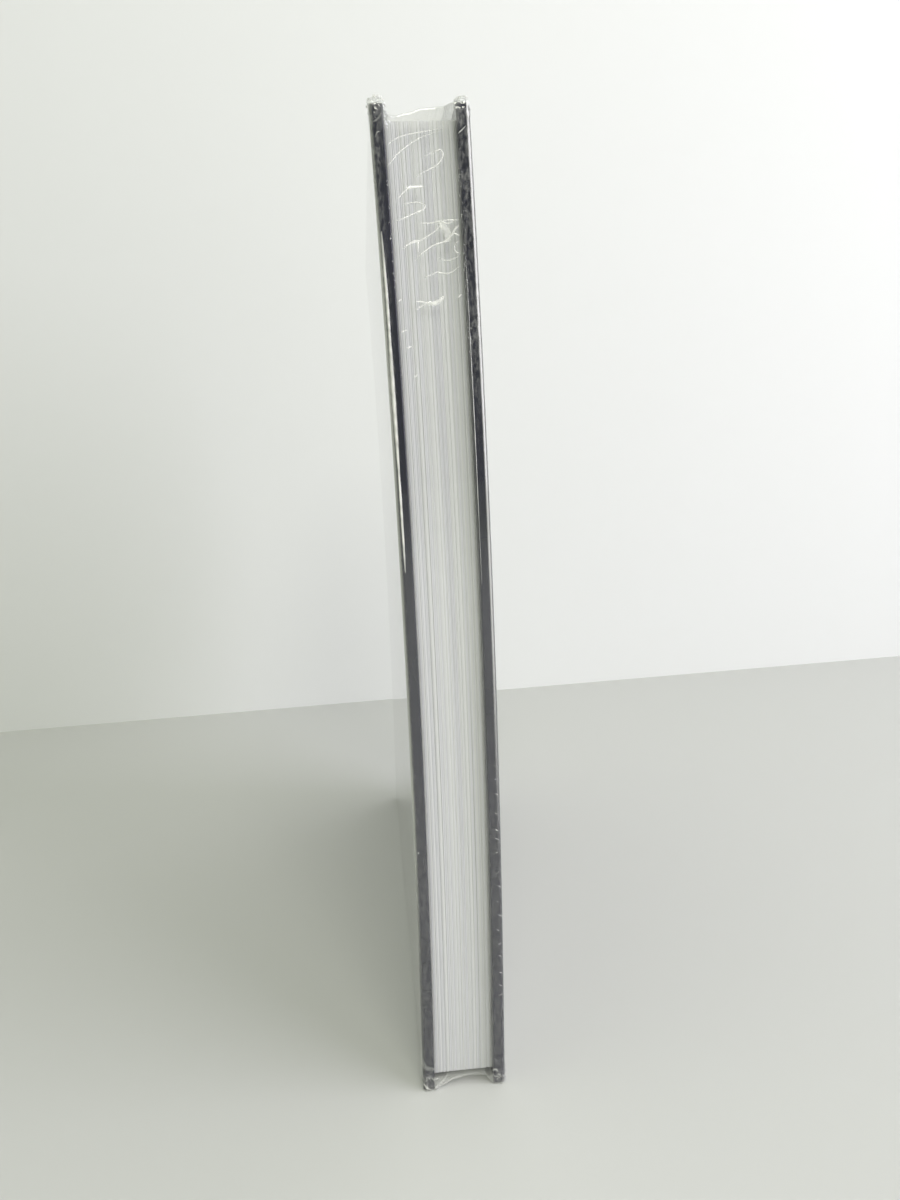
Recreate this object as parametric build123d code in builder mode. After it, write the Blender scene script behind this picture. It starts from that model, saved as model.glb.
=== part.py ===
from build123d import *
import os
from math import asin, cos, degrees, sin, sqrt

# A case-bound photo book with a square spine, sealed in clear shrink film.
# It stands on its tail: fore-edge towards -Y, spine towards +Y, front cover on the -X side.
# The whole book is slightly bowed: its middle stands further towards +X than its ends.

os.makedirs("parts", exist_ok=True)

# Driving sizes in millimetres: the trimmed pages
page_width = 203.2
page_height = 254.0
block_thickness = 15.9
signature_count = 16
notch_depth = 0.3
notch_width = 0.16
trim_unevenness = 0.2

# Case: boards, spine board and the covering paper
square = 3.0
board_thickness = 3.0
spine_board_thickness = 2.0
covering_thickness = 0.18
turn_in = 15.0
joint_width = 7.5
fore_edge_radius = 0.8
board_edge_radius = 0.3
groove_bevel = 0.3

# What holds the pages in the case
endpaper_thickness = 0.2
leaf_gap = 0.1
lining_thickness = 0.3
hollow_gap = 0.7
band_radius = 1.0
band_tape_thickness = 0.35
band_tape_height = 9.0

# Shrink film, and how far it sags between the two boards
film_thickness = 0.12
fore_sag = 1.4
head_sag = 2.2
tail_sag = 2.0
ear_height = 1.3
ear_length = 5.0
ear_width = 2.0
ear_inset = 0.8

# How far the middle of the book stands off the line between its ends
bow = 1.6

# Clearances
seat_clearance = 0.1
overrun = 5.0

# Phase steps that keep the pages' trimmed edges and notches from repeating
trim_phase = 2.4
notch_phase = 1.7

# Thickness across the case, measured from the middle of the pages outwards
leaf_stack = 2 * endpaper_thickness + leaf_gap
cavity_half = block_thickness / 2 + leaf_stack
joint_cavity_half = cavity_half + lining_thickness
board_inner = cavity_half + covering_thickness
board_outer = board_inner + board_thickness
case_half = board_outer + covering_thickness
groove_half = joint_cavity_half + 2 * covering_thickness

# Depth from fore-edge to spine, with the film's outer faces at equal distances from Y = 0
spine_stack = lining_thickness + hollow_gap + spine_board_thickness + 2 * covering_thickness
case_depth = square + page_width + spine_stack
case_fore = -case_depth / 2
case_back = case_depth / 2
block_fore = case_fore + square
block_back = block_fore + page_width
spine_board_back = case_back - covering_thickness
spine_board_front = spine_board_back - spine_board_thickness
cavity_back = spine_board_front - covering_thickness
board_fore = case_fore + covering_thickness
board_back = spine_board_front - joint_width
turn_in_fore = case_fore + turn_in
groove_fore = board_back + covering_thickness
groove_back = spine_board_front - covering_thickness
lining_back = block_back + lining_thickness

# Heights, with the film's underside at Z = 0
case_height = page_height + 2 * square
case_tail = film_thickness
case_head = case_tail + case_height
board_tail = case_tail + covering_thickness
board_head = case_head - covering_thickness
block_tail = case_tail + square
block_head = case_head - square
turn_in_tail = case_tail + turn_in
turn_in_head = case_head - turn_in
film_head = case_head + film_thickness
mid_height = case_tail + case_height / 2

# The bow is an arc about an axis along Y, through the ends of the book at chord_x
chord_x = -bow / 2
bend_radius = (case_height / 2) ** 2 / (2 * bow) + bow / 2
bend_centre_x = chord_x + bow - bend_radius
bend_axis = Axis((bend_centre_x, 0, mid_height), (0, -1, 0))
bend_half = asin((case_height / 2 + overrun) / (bend_radius - case_half))
tail_section = Plane(
    origin=(
        bend_centre_x + bend_radius * cos(bend_half),
        0,
        mid_height - bend_radius * sin(bend_half),
    ),
    x_dir=(cos(bend_half), 0, -sin(bend_half)),
    z_dir=(sin(bend_half), 0, cos(bend_half)),
)
trim_size = 2 * case_depth

# A bevel this share of a radius long touches the rounded edge that it stands for
bevel_share = 2 - sqrt(2)


def bend_up(bottom, top):
    """Turns the pending section along the bow and trims it level at both heights."""
    revolve(axis=bend_axis, revolution_arc=2 * degrees(bend_half))
    with Locations((0, 0, bottom)):
        level_slice = (Align.CENTER, Align.CENTER, Align.MIN)
        Box(trim_size, trim_size, top - bottom, align=level_slice, mode=Mode.INTERSECT)


def span(low, high, y_low, y_high, mode=Mode.ADD):
    """Draws a rectangle between two distances from the middle and two depths."""
    with Locations(((low + high) / 2, (y_low + y_high) / 2)):
        Rectangle(high - low, y_high - y_low, mode=mode)


def signature_edge(level, outwards):
    """Points along a trimmed edge of the pages, dipping between every two signatures."""
    pitch = block_thickness / signature_count
    points = [(-block_thickness / 2, level)]
    for number in range(1, signature_count):
        place = number * pitch - block_thickness / 2
        trimmed = level - outwards * trim_unevenness * (1 + sin(trim_phase * number)) / 2
        notch = notch_depth * (1 + sin(notch_phase * number) / 2)
        points.append((place - notch_width / 2, trimmed))
        points.append((place, trimmed - outwards * notch))
        points.append((place + notch_width / 2, trimmed))
    points.append((block_thickness / 2, level))
    return points


def sag_radius(sag):
    """Radius of the arc that sags this far between the inner edges of the boards."""
    return (cavity_half**2 + sag**2) / (2 * sag)


def case_cavity(extra):
    """Draws the space inside the case, with its walls moved outwards by extra."""
    deep = cavity_back + extra
    span(-cavity_half - extra, cavity_half + extra, case_fore - overrun, deep)
    span(-joint_cavity_half - extra, joint_cavity_half + extra, board_back, deep)


# Front and back boards, one each side of the pages
boards = {}
for side, name in ((-1, "front"), (1, "back")):
    with BuildPart() as board:
        with BuildSketch(tail_section) as outline:
            low, high = sorted((side * board_inner, side * board_outer))
            span(low, high, board_fore, board_back)
            outer_corners = outline.vertices().group_by(Axis.X)[0 if side < 0 else -1]
            fore_corner, back_corner = outer_corners.sort_by(Axis.Y)
            chamfer(fore_corner, bevel_share * fore_edge_radius)
            chamfer(back_corner, bevel_share * board_edge_radius)
        bend_up(board_tail, board_head)
    boards[name] = board.part
    board.part.label = f"{name}_board"
    export_step(board.part, f"parts/{name}_board.step")

# Stiff strip inside the spine
with BuildPart() as spine_board:
    with BuildSketch(tail_section) as outline:
        span(-board_outer, board_outer, spine_board_front, spine_board_back)
        chamfer(outline.vertices().group_by(Axis.Y)[-1], bevel_share * board_edge_radius)
    bend_up(board_tail, board_head)
spine_board.part.label = "spine_board"
export_step(spine_board.part, "parts/spine_board.step")

# The space that the turn-ins of the covering leave bare, inside the case
with BuildPart() as bare_window:
    with BuildSketch(tail_section) as outline:
        case_cavity(covering_thickness)
        span(-case_half, case_half, case_fore - 2 * overrun, turn_in_fore, mode=Mode.SUBTRACT)
    bend_up(turn_in_tail, turn_in_head)

# Printed covering paper: over both boards and the spine, down into the joints, turned in all round
with BuildPart() as cover_wrap:
    with BuildSketch(tail_section) as outline:
        span(-case_half, case_half, case_fore, case_back)
        fillet(outline.vertices().group_by(Axis.Y)[0], fore_edge_radius + covering_thickness)
        covered = board_edge_radius + covering_thickness
        chamfer(outline.vertices().group_by(Axis.Y)[-1], bevel_share * covered)
    bend_up(case_tail, case_head)
    with BuildSketch(tail_section) as grooves:
        for side in (-1, 1):
            low, high = sorted((side * groove_half, side * (case_half + overrun)))
            span(low, high, groove_fore, groove_back)
        chamfer(grooves.vertices(), groove_bevel)
    revolve(axis=bend_axis, revolution_arc=2 * degrees(bend_half), mode=Mode.SUBTRACT)
    with BuildSketch(tail_section) as inside:
        case_cavity(0)
    revolve(axis=bend_axis, revolution_arc=2 * degrees(bend_half), mode=Mode.SUBTRACT)
    add(bare_window.part, mode=Mode.SUBTRACT)
    add([boards["front"], boards["back"], spine_board.part], mode=Mode.SUBTRACT)
cover_wrap.part.label = "cover_wrap"
export_step(cover_wrap.part, "parts/cover_wrap.step")

# Endpapers: each a folded sheet, one leaf pasted to the board and one lying on the pages
with BuildPart() as paste_zone:
    with BuildSketch(tail_section) as outline:
        for side in (-1, 1):
            low, high = sorted((side * cavity_half, side * board_inner))
            span(low, high, turn_in_fore, board_back)
    bend_up(turn_in_tail, turn_in_head)

for side, name in ((-1, "front"), (1, "back")):
    fold_radius = leaf_stack / 2
    with BuildPart() as endpaper:
        with BuildSketch(tail_section) as outline:
            low, high = sorted((side * block_thickness / 2, side * cavity_half))
            span(low, high, block_fore, block_back)
            chamfer(outline.vertices().group_by(Axis.Y)[-1], bevel_share * fold_radius)
            slit_middle = side * (block_thickness / 2 + fold_radius)
            slit_back = block_back - fold_radius
            slit_sides = (slit_middle - leaf_gap / 2, slit_middle + leaf_gap / 2)
            span(*slit_sides, block_fore - overrun, slit_back, mode=Mode.SUBTRACT)
        bend_up(block_tail, block_head)
        add(paste_zone.part.solids().sort_by(Axis.X)[0 if side < 0 else -1])
    endpaper.part.label = f"{name}_endpaper"
    export_step(endpaper.part, f"parts/{name}_endpaper.step")

# Pages: one block, its three trimmed edges dipping where one signature meets the next
with BuildPart() as page_block:
    with BuildSketch(tail_section) as outline:
        with BuildLine():
            Polyline(
                *signature_edge(block_fore, -1),
                (block_thickness / 2, block_back),
                (-block_thickness / 2, block_back),
                close=True,
            )
        make_face()
    bend_up(block_tail - overrun, block_head + overrun)
    with BuildSketch(Plane.XZ) as trimmed_ends:
        with BuildLine(Plane.XZ):
            Polyline(
                (-block_thickness, block_tail),
                *signature_edge(block_tail, -1),
                (block_thickness, block_tail),
                (block_thickness, block_head),
                *reversed(signature_edge(block_head, 1)),
                (-block_thickness, block_head),
                close=True,
            )
        make_face()
    extrude(amount=case_depth, both=True, mode=Mode.INTERSECT)
page_block.part.label = "page_block"
export_step(page_block.part, "parts/page_block.step")

# Crepe lining glued over the backs of the signatures, with a flange down each joint
with BuildPart() as spine_lining:
    with BuildSketch(tail_section) as outline:
        span(-joint_cavity_half, joint_cavity_half, board_back + seat_clearance, lining_back)
        span(-cavity_half, cavity_half, board_back - overrun, block_back, mode=Mode.SUBTRACT)
    bend_up(block_tail, block_head)
spine_lining.part.label = "spine_lining"
export_step(spine_lining.part, "parts/spine_lining.step")

# Head and tail bands: a bead on the trimmed edge of the pages, on a tape down the lining
bead_y = lining_back + band_tape_thickness - band_radius
for name, edge_z, outwards in (("head", block_head, 1), ("tail", block_tail, -1)):
    bead_z = edge_z + outwards * band_radius
    with BuildPart() as band:
        with BuildSketch(Plane.YZ) as outline:
            with Locations((bead_y, bead_z)):
                Circle(band_radius)
            tape_ends = sorted((bead_z, edge_z - outwards * band_tape_height))
            span(lining_back, lining_back + band_tape_thickness, *tape_ends)
        extrude(amount=block_thickness / 2, both=True)
    band.part.position = (chord_x, 0, 0)
    band.part.label = f"{name}_band"
    export_step(band.part, f"parts/{name}_band.step")


def film_body(skin):
    """The wrapped book's outer form, with the film's sags, grown by the thickness of skin."""
    with BuildPart() as body:
        with BuildSketch(tail_section) as outline:
            span(-case_half - skin, case_half + skin, case_fore - skin, case_back + skin)
            covered = covering_thickness + skin
            fillet(outline.vertices().group_by(Axis.Y)[0], fore_edge_radius + covered)
            chamfer(outline.vertices().group_by(Axis.Y)[-1], bevel_share * (board_edge_radius + covered))
            fore_radius = sag_radius(fore_sag)
            with Locations((0, case_fore + fore_sag - fore_radius)):
                Circle(fore_radius - skin, mode=Mode.SUBTRACT)
        bend_up(case_tail - skin, case_head + skin)
        for edge_z, outwards, sag in ((case_head, 1, head_sag), (case_tail, -1, tail_sag)):
            end_radius = sag_radius(sag)
            sag_middle = edge_z + outwards * (end_radius - sag)
            with Locations((chord_x, cavity_back - cavity_half, sag_middle)):
                Sphere(end_radius - skin, mode=Mode.SUBTRACT)
                Cylinder(
                    end_radius - skin,
                    trim_size,
                    rotation=(90, 0, 0),
                    align=(Align.CENTER, Align.CENTER, Align.MIN),
                    mode=Mode.SUBTRACT,
                )
    return body.part


# Clear shrink film: tight over the covers, sagging between the boards at fore-edge, head and tail
wrapped_book = film_body(0)
film_outside = film_body(film_thickness)
with BuildPart() as shrink_film:
    add(film_outside)
    for side in (-1, 1):
        for end in (-1, 1):
            corner_y = end * (case_depth / 2 - ear_inset)
            with BuildSketch(Plane.YZ) as ear:
                with BuildLine():
                    Polyline(
                        (corner_y, case_head),
                        (corner_y - end * ear_height, film_head + ear_height),
                        (corner_y - end * ear_length, case_head),
                        close=True,
                    )
                make_face()
            ear_middle = chord_x + side * (cavity_half + case_half) / 2
            extrude(ear.sketch.moved(Location((ear_middle, 0, 0))), amount=ear_width / 2, both=True)
    add(wrapped_book, mode=Mode.SUBTRACT)
shrink_film.part.label = "shrink_film"
export_step(shrink_film.part, "parts/shrink_film.step")
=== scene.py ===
import math
import random

import bmesh
import bpy
from mathutils import Matrix, Vector, noise


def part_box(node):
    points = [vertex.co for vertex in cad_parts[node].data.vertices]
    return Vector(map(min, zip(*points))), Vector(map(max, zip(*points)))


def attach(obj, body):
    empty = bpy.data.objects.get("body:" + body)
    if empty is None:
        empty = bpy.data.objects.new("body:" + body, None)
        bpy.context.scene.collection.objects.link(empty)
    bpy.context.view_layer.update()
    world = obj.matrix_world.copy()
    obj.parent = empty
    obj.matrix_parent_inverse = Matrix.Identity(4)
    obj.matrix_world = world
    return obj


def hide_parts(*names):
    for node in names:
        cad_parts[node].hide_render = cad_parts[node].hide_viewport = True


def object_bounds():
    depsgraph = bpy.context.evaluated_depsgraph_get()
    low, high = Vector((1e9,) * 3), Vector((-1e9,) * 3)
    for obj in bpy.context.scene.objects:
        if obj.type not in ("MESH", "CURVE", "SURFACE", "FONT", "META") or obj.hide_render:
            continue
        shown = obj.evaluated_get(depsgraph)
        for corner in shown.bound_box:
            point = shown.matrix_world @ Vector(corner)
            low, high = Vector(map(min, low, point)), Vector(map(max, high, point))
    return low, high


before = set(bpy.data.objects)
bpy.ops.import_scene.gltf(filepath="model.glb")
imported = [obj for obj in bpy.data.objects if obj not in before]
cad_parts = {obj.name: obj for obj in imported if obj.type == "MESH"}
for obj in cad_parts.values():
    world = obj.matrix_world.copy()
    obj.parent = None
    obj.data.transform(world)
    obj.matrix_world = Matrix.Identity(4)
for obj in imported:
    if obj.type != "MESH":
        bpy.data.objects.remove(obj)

# Places and sizes are in metres. The book stands on its tail, fore-edge towards -Y.
MM = 0.001

cad_low, cad_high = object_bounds()
case_low, case_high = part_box("cover_wrap")
board_low, board_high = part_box("back_board")
block_low, block_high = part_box("page_block")

# The book's bow and its covering's thickness, and what follows from the CAD nodes' boxes
BOW = 1.6 * MM
COVERING = 0.18 * MM
FILM = cad_high.y - case_high.y
CASE_HEIGHT = case_high.z - case_low.z
CASE_HALF = (case_high.x - case_low.x - BOW) / 2
BOARD_WRAPPED = (board_high.x - board_low.x - BOW) + 2 * COVERING
CAVITY_HALF = CASE_HALF - BOARD_WRAPPED
BLOCK_HALF = (block_high.x - block_low.x - BOW) / 2
CHORD_X = -BOW / 2
MID_HEIGHT = (case_low.z + case_high.z) / 2
BEND_RADIUS = (CASE_HEIGHT / 2) ** 2 / (2 * BOW) + BOW / 2

# Rounding of the covered boards' outer fore-edges and of their other edges
FORE_RADIUS = 0.98 * MM
EDGE_RADIUS = 0.48 * MM

# How far the film sags between the boards
FORE_SAG = 1.05 * MM
HEAD_SAG = 2.2 * MM
TAIL_SAG = 2.0 * MM

# The photograph's picture and the camera that fits the edges of the boards in it
PICTURE_WIDTH, PICTURE_HEIGHT = 900, 1200
FOCAL_PIXELS = 891.0
CAMERA_PLACE = Vector((-18.4, -329.0, 185.1)) * MM
CAMERA_YAW, CAMERA_PITCH, CAMERA_ROLL = math.radians(5.01), math.radians(10.79), math.radians(-2.54)


def bow_at(height):
    """How far the middle of the book stands in X at this height."""
    rise = height - MID_HEIGHT
    return CHORD_X + BOW - BEND_RADIUS + math.sqrt(BEND_RADIUS**2 - rise**2)


# Camera

def camera_turn():
    """How the camera is turned, as a 3 x 3 matrix."""
    turn = Matrix.Rotation(-CAMERA_YAW, 3, "Z") @ Matrix.Rotation(math.pi / 2 - CAMERA_PITCH, 3, "X")
    return turn @ Matrix.Rotation(CAMERA_ROLL, 3, "Z")


def add_camera():
    """The camera that took the photograph."""
    data = bpy.data.cameras.new("camera")
    data.sensor_fit = "VERTICAL"
    data.sensor_height = 36.0
    data.lens = data.sensor_height * FOCAL_PIXELS / PICTURE_HEIGHT
    data.clip_start = 0.01
    camera = bpy.data.objects.new("camera", data)
    camera.matrix_world = Matrix.Translation(CAMERA_PLACE) @ camera_turn().to_4x4()
    bpy.context.scene.collection.objects.link(camera)
    bpy.context.scene.camera = camera


def sight_line(pixel):
    """Direction from the camera through a pixel of the photograph."""
    across, down = pixel
    ray = Vector((across - PICTURE_WIDTH / 2, PICTURE_HEIGHT / 2 - down, -FOCAL_PIXELS))
    return (camera_turn() @ ray).normalized()


def seen_on_floor(pixel):
    """The point of the floor that a pixel shows."""
    ray = sight_line(pixel)
    return CAMERA_PLACE + ray * (-CAMERA_PLACE.z / ray.z)


# Node helpers

def new_material(name):
    """An empty node material, with its nodes, links and output."""
    material = bpy.data.materials.new(name)
    material.use_nodes = True
    nodes = material.node_tree.nodes
    nodes.clear()
    output = nodes.new("ShaderNodeOutputMaterial")
    return material, nodes, material.node_tree.links, output


def add_node(nodes, kind, **settings):
    """A node with its settings and sockets filled in by name."""
    node = nodes.new(kind)
    for name, value in settings.items():
        if hasattr(node, name):
            setattr(node, name, value)
        else:
            node.inputs[name.replace("_", " ")].default_value = value
    return node


def colour_ramp(nodes, *stops):
    """A ramp through (place, colour) stops."""
    ramp = nodes.new("ShaderNodeValToRGB")
    elements = ramp.color_ramp.elements
    while len(elements) < len(stops):
        elements.new(0.5)
    for element, (place, colour) in zip(elements, stops):
        element.position = place
        element.color = (*colour, 1.0)
    return ramp


# Finishes

def laminate_finish():
    """Charcoal print under gloss laminate, faintly uneven in tone and gloss."""
    material, nodes, links, output = new_material("charcoal_laminate")
    place = nodes.new("ShaderNodeTexCoord")
    rub = add_node(nodes, "ShaderNodeTexNoise", Scale=38.0, Detail=3.0, Roughness=0.5)
    tone = colour_ramp(nodes, (0.35, (0.010, 0.010, 0.024)), (0.70, (0.016, 0.015, 0.033)))
    sheen = add_node(nodes, "ShaderNodeMapRange")
    sheen.inputs["From Min"].default_value = 0.3
    sheen.inputs["From Max"].default_value = 0.75
    sheen.inputs["To Min"].default_value = 0.11
    sheen.inputs["To Max"].default_value = 0.22
    bump = add_node(nodes, "ShaderNodeBump", Strength=0.06, Distance=0.00005)
    surface = add_node(nodes, "ShaderNodeBsdfPrincipled")
    surface.inputs["Specular IOR Level"].default_value = 0.55
    links.new(place.outputs["Object"], rub.inputs["Vector"])
    links.new(rub.outputs["Fac"], tone.inputs["Fac"])
    links.new(rub.outputs["Fac"], sheen.inputs["Value"])
    links.new(rub.outputs["Fac"], bump.inputs["Height"])
    links.new(tone.outputs["Color"], surface.inputs["Base Color"])
    links.new(sheen.outputs["Result"], surface.inputs["Roughness"])
    links.new(bump.outputs["Normal"], surface.inputs["Normal"])
    links.new(surface.outputs["BSDF"], output.inputs["Surface"])
    return material


# Lines of the trimmed leaves: how many cross the block, how fast they drift, their share of the tone
LEAF_LINES = ((13, 0.35, 0.15), (36, 0.5, 0.31), (84, 0.8, 0.35), (210, 1.4, 0.22))


def paper_edge_finish():
    """Trimmed paper: light and dark lines that follow the leaves, faintly cool or warm."""
    material, nodes, links, output = new_material("trimmed_paper")
    place = add_node(nodes, "ShaderNodeUVMap", uv_map="leaves")
    level = None
    for lines_across, drift, share in LEAF_LINES:
        stretch = add_node(nodes, "ShaderNodeMapping")
        stretch.inputs["Scale"].default_value = (lines_across, drift, 1)
        lines = add_node(nodes, "ShaderNodeTexNoise", Scale=1.0, Detail=1.0, Roughness=0.5)
        total = add_node(nodes, "ShaderNodeMath", operation="MULTIPLY_ADD")
        total.inputs[1].default_value = share
        total.inputs[2].default_value = 0.0
        links.new(place.outputs["UV"], stretch.inputs["Vector"])
        links.new(stretch.outputs["Vector"], lines.inputs["Vector"])
        links.new(lines.outputs["Fac"], total.inputs[0])
        if level:
            links.new(level, total.inputs[2])
        level = total.outputs["Value"]
    tone = colour_ramp(
        nodes,
        (0.38, (0.46, 0.46, 0.46)),
        (0.45, (0.70, 0.70, 0.70)),
        (0.56, (0.80, 0.80, 0.80)),
        (0.70, (0.88, 0.88, 0.88)),
    )
    tint_stretch = add_node(nodes, "ShaderNodeMapping")
    tint_stretch.inputs["Scale"].default_value = (22, 0.5, 1)
    tint_stretch.inputs["Location"].default_value = (5.3, 0, 0)
    tint_lines = add_node(nodes, "ShaderNodeTexNoise", Scale=1.0, Detail=1.0)
    tint = colour_ramp(nodes, (0.40, (0.99, 0.99, 0.995)), (0.60, (0.955, 0.95, 1.0)))
    tinted = add_node(nodes, "ShaderNodeMix", data_type="RGBA", blend_type="MULTIPLY")
    tinted.inputs["Factor"].default_value = 1.0
    bump = add_node(nodes, "ShaderNodeBump", Strength=0.3, Distance=0.00010)
    surface = add_node(nodes, "ShaderNodeBsdfPrincipled", Roughness=0.65)
    surface.inputs["Specular IOR Level"].default_value = 0.3
    links.new(level, tone.inputs["Fac"])
    links.new(level, bump.inputs["Height"])
    links.new(place.outputs["UV"], tint_stretch.inputs["Vector"])
    links.new(tint_stretch.outputs["Vector"], tint_lines.inputs["Vector"])
    links.new(tint_lines.outputs["Fac"], tint.inputs["Fac"])
    links.new(tone.outputs["Color"], tinted.inputs["A"])
    links.new(tint.outputs["Color"], tinted.inputs["B"])
    links.new(tinted.outputs["Result"], surface.inputs["Base Color"])
    links.new(bump.outputs["Normal"], surface.inputs["Normal"])
    links.new(surface.outputs["BSDF"], output.inputs["Surface"])
    return material


def fibre_finish(name, dark, light, scale, roughness, depth):
    """Matt paper or board: blotches and fibres of one colour."""
    material, nodes, links, output = new_material(name)
    place = nodes.new("ShaderNodeTexCoord")
    fibres = add_node(nodes, "ShaderNodeTexNoise", Scale=scale, Detail=6.0, Roughness=0.65)
    tone = colour_ramp(nodes, (0.35, dark), (0.68, light))
    bump = add_node(nodes, "ShaderNodeBump", Strength=0.4, Distance=depth)
    surface = add_node(nodes, "ShaderNodeBsdfPrincipled", Roughness=roughness)
    links.new(place.outputs["Object"], fibres.inputs["Vector"])
    links.new(fibres.outputs["Fac"], tone.inputs["Fac"])
    links.new(fibres.outputs["Fac"], bump.inputs["Height"])
    links.new(tone.outputs["Color"], surface.inputs["Base Color"])
    links.new(bump.outputs["Normal"], surface.inputs["Normal"])
    links.new(surface.outputs["BSDF"], output.inputs["Surface"])
    return material


def band_finish():
    """Woven head and tail band with fine ribs across."""
    material, nodes, links, output = new_material("band_weave")
    place = nodes.new("ShaderNodeTexCoord")
    ribs = add_node(nodes, "ShaderNodeTexWave", wave_type="BANDS", bands_direction="X")
    ribs.inputs["Scale"].default_value = 420
    ribs.inputs["Distortion"].default_value = 0.6
    tone = colour_ramp(nodes, (0.2, (0.55, 0.55, 0.53)), (0.7, (0.80, 0.80, 0.78)))
    bump = add_node(nodes, "ShaderNodeBump", Strength=0.6, Distance=0.0002)
    surface = add_node(nodes, "ShaderNodeBsdfPrincipled", Roughness=0.85)
    links.new(place.outputs["Object"], ribs.inputs["Vector"])
    links.new(ribs.outputs["Fac"], tone.inputs["Fac"])
    links.new(ribs.outputs["Fac"], bump.inputs["Height"])
    links.new(tone.outputs["Color"], surface.inputs["Base Color"])
    links.new(bump.outputs["Normal"], surface.inputs["Normal"])
    links.new(surface.outputs["BSDF"], output.inputs["Surface"])
    return material


# How strongly the film mirrors: straight on, what a low angle adds, and how late that sets in
MIRROR_STRAIGHT_ON = 0.08
MIRROR_LOW_ANGLE = 0.92
MIRROR_POWER = 3.5


def film_finish():
    """Clear shrink film: see-through, a mirror at low angles, and white where it is creased or bunched; that
    white also carries painted highlights and painted reflections.
    """
    material, nodes, links, output = new_material("clear_film")
    milkiness_and_painted_light = add_node(nodes, "ShaderNodeAttribute", attribute_name="milkiness_and_painted_light")
    mottling_and_painted_reflection = add_node(nodes, "ShaderNodeAttribute", attribute_name="mottling_and_painted_reflection")
    place = nodes.new("ShaderNodeTexCoord")
    drawn_out = add_node(nodes, "ShaderNodeMapping")
    drawn_out.inputs["Scale"].default_value = (1.0, 1.0, 0.4)
    crinkles = add_node(nodes, "ShaderNodeTexNoise", Scale=1500.0, Detail=3.0, Roughness=0.6)
    patches = add_node(nodes, "ShaderNodeMapRange")
    patches.inputs["From Min"].default_value = 0.42
    patches.inputs["From Max"].default_value = 0.72
    mottled = add_node(nodes, "ShaderNodeMath", operation="MULTIPLY_ADD")
    ripple = add_node(nodes, "ShaderNodeTexNoise", Scale=70.0, Detail=2.0, Roughness=0.5)
    bump = add_node(nodes, "ShaderNodeBump", Distance=0.0006)
    facing = add_node(nodes, "ShaderNodeLayerWeight", Blend=0.5)
    calmed = nodes.new("ShaderNodeMapRange")
    calmed.inputs["From Min"].default_value = 0.80
    calmed.inputs["From Max"].default_value = 0.95
    calmed.inputs["To Min"].default_value = 0.10
    calmed.inputs["To Max"].default_value = 0.0
    steep = add_node(nodes, "ShaderNodeMath", operation="POWER")
    steep.inputs[1].default_value = MIRROR_POWER
    mirror = add_node(nodes, "ShaderNodeMath", operation="MULTIPLY_ADD")
    mirror.inputs[1].default_value = MIRROR_LOW_ANGLE
    mirror.inputs[2].default_value = MIRROR_STRAIGHT_ON
    clear = add_node(nodes, "ShaderNodeBsdfTransparent", Color=(0.985, 0.99, 0.985, 1.0))
    gloss = add_node(nodes, "ShaderNodeBsdfGlossy", Color=(1.0, 1.0, 1.0, 1.0), Roughness=0.045)
    shell = nodes.new("ShaderNodeMixShader")
    # White finish: the whitening of creased film, and also painted highlights and painted reflections
    milk_and_painted_light = add_node(nodes, "ShaderNodeBsdfPrincipled", Roughness=0.22)
    milk_and_painted_light.inputs["Base Color"].default_value = (0.95, 0.95, 0.91, 1.0)
    milky_with_painted_light = nodes.new("ShaderNodeMixShader")
    links.new(place.outputs["Object"], ripple.inputs["Vector"])
    links.new(ripple.outputs["Fac"], bump.inputs["Height"])
    links.new(facing.outputs["Facing"], calmed.inputs["Value"])
    links.new(calmed.outputs["Result"], bump.inputs["Strength"])
    links.new(bump.outputs["Normal"], gloss.inputs["Normal"])
    links.new(facing.outputs["Facing"], steep.inputs[0])
    links.new(steep.outputs["Value"], mirror.inputs[0])
    links.new(mirror.outputs["Value"], shell.inputs["Fac"])
    links.new(clear.outputs["BSDF"], shell.inputs[1])
    links.new(gloss.outputs["BSDF"], shell.inputs[2])
    links.new(place.outputs["Object"], drawn_out.inputs["Vector"])
    links.new(drawn_out.outputs["Vector"], crinkles.inputs["Vector"])
    links.new(crinkles.outputs["Fac"], patches.inputs["Value"])
    links.new(patches.outputs["Result"], mottled.inputs[0])
    links.new(mottling_and_painted_reflection.outputs["Fac"], mottled.inputs[1])
    links.new(milkiness_and_painted_light.outputs["Fac"], mottled.inputs[2])
    links.new(mottled.outputs["Value"], milky_with_painted_light.inputs["Fac"])
    links.new(shell.outputs["Shader"], milky_with_painted_light.inputs[1])
    links.new(milk_and_painted_light.outputs["BSDF"], milky_with_painted_light.inputs[2])
    links.new(milky_with_painted_light.outputs["Shader"], output.inputs["Surface"])
    return material


# Mesh helpers

def add_piece(name, form, material, slot, *replaced, flat_from=math.inf):
    """Makes a form an object that rides with the book; faces as large as flat_from stay flat."""
    mesh = bpy.data.meshes.new(name)
    form.to_mesh(mesh)
    form.free()
    for face in mesh.polygons:
        face.use_smooth = face.area < flat_from
    mesh.materials.append(material)
    piece = bpy.data.objects.new(name, mesh)
    bpy.context.scene.collection.objects.link(piece)
    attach(piece, "root")
    if replaced:
        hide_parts(*replaced)


def dress(node, material):
    """Gives a CAD node its finish."""
    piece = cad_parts[node]
    piece.data.materials.clear()
    piece.data.materials.append(material)


def move_in(form, other):
    """Adds another form's faces to form and frees it."""
    mesh = bpy.data.meshes.new("moved_in")
    other.to_mesh(mesh)
    other.free()
    form.from_mesh(mesh)
    bpy.data.meshes.remove(mesh)


# Curves and noise

def fade(value, start, end):
    """0 at start, 1 at end, smooth between."""
    share = max(0.0, min(1.0, (value - start) / (end - start)))
    return share * share * (3 - 2 * share)


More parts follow.
